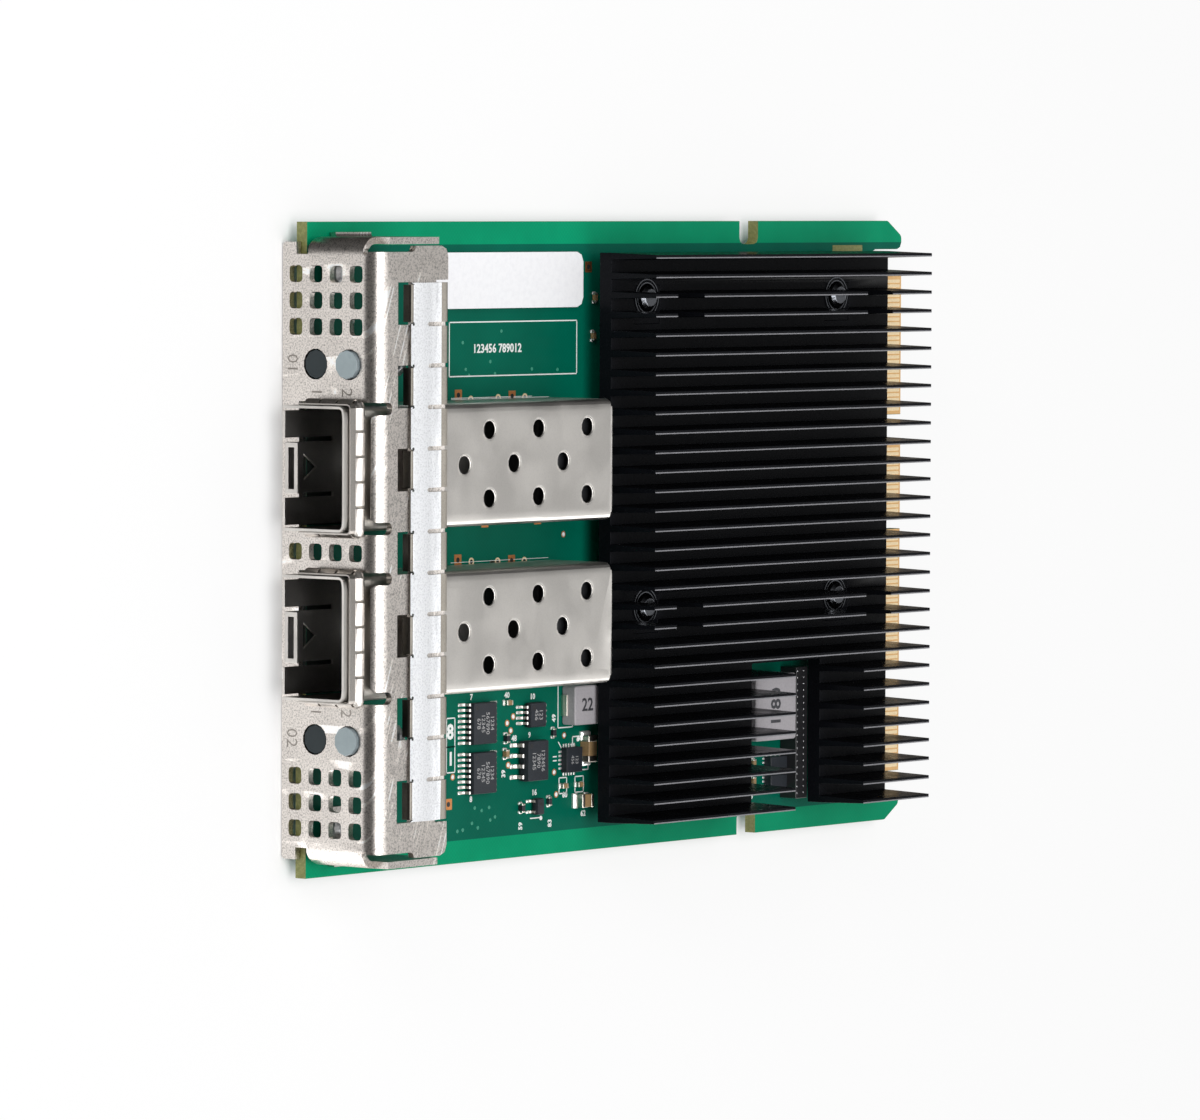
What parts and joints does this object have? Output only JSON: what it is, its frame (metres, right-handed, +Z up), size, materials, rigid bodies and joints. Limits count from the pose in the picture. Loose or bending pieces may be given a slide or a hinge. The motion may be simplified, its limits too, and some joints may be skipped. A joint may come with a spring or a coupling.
{
  "type": "ethernet adapter card",
  "caption": "Flat green adapter card with a perforated folded faceplate, metal transceiver cages, a black finned heat sink and a gold edge connector.",
  "frame": {"origin": "on the surface the card lies on, under the middle of its bounding box", "axes": "+Y along the card's length from the faceplate to the edge connector, +X across the card towards the heat sink's notch, +Z up from the component side"},
  "size_m": [0.076, 0.1194, 0.0146],
  "materials": {
    "solder_mask": "green solder mask over glass-fibre laminate",
    "nickel_steel": "satin nickel-plated sheet steel",
    "bright_tin": "bright tin plate",
    "cage_steel": "satin plated cage metal",
    "black_anodised": "black anodised aluminium",
    "black_plastic": "moulded black plastic",
    "light_pipe": "clear grey light pipe plastic",
    "ferrite_grey": "grey pressed metal powder",
    "ceramic": "brown ceramic with tinned ends",
    "label_white": "white, satin",
    "screw_steel": "black zinc plate",
    "thermal_pad": "grey gap filler"
  },
  "bodies": {
    "root": {"circuit_board": "solder_mask", "io_bracket": "nickel_steel", "bracket_screw_1": "bright_tin", "bracket_screw_2": "bright_tin", "emi_finger_strip": "bright_tin", "sfp_cage_1": "cage_steel", "sfp_cage_2": "cage_steel", "cage_base_1": "cage_steel", "cage_base_2": "cage_steel", "cage_spring_collar_1": "cage_steel", "cage_spring_collar_2": "cage_steel", "port_connector_1": "black_plastic", "port_connector_2": "black_plastic", "light_pipe_link_1": "light_pipe", "light_pipe_link_2": "light_pipe", "light_pipe_activity_1": "light_pipe", "light_pipe_activity_2": "light_pipe", "light_pipe_holder_1": "black_plastic", "light_pipe_holder_2": "black_plastic", "status_light_link_1": "label_white", "status_light_link_2": "label_white", "status_light_activity_1": "label_white", "status_light_activity_2": "label_white", "heat_sink": "black_anodised", "heat_sink_screw_1": "screw_steel", "heat_sink_screw_2": "screw_steel", "heat_sink_screw_3": "screw_steel", "heat_sink_screw_4": "screw_steel", "heat_sink_spacer_1": "bright_tin", "heat_sink_spacer_2": "bright_tin", "heat_sink_spacer_3": "bright_tin", "heat_sink_spacer_4": "bright_tin", "controller_chip": "black_plastic", "thermal_pad": "thermal_pad", "insulator_film": "black_plastic", "board_label": "label_white", "buffer_chip_1": "black_plastic", "buffer_chip_2": "black_plastic", "sensor_chip": "black_plastic", "memory_chip": "black_plastic", "gate_chip": "black_plastic", "power_switch_chip": "black_plastic", "regulator_chip_1": "black_plastic", "regulator_chip_2": "black_plastic", "inductor_1": "ferrite_grey", "inductor_2": "ferrite_grey", "capacitor_1": "ceramic", "capacitor_2": "ceramic", "capacitor_3": "ceramic", "capacitor_4": "ceramic", "capacitor_5": "ceramic", "capacitor_6": "ceramic", "capacitor_7": "ceramic", "capacitor_8": "ceramic"}
  },
  "joints": []
}
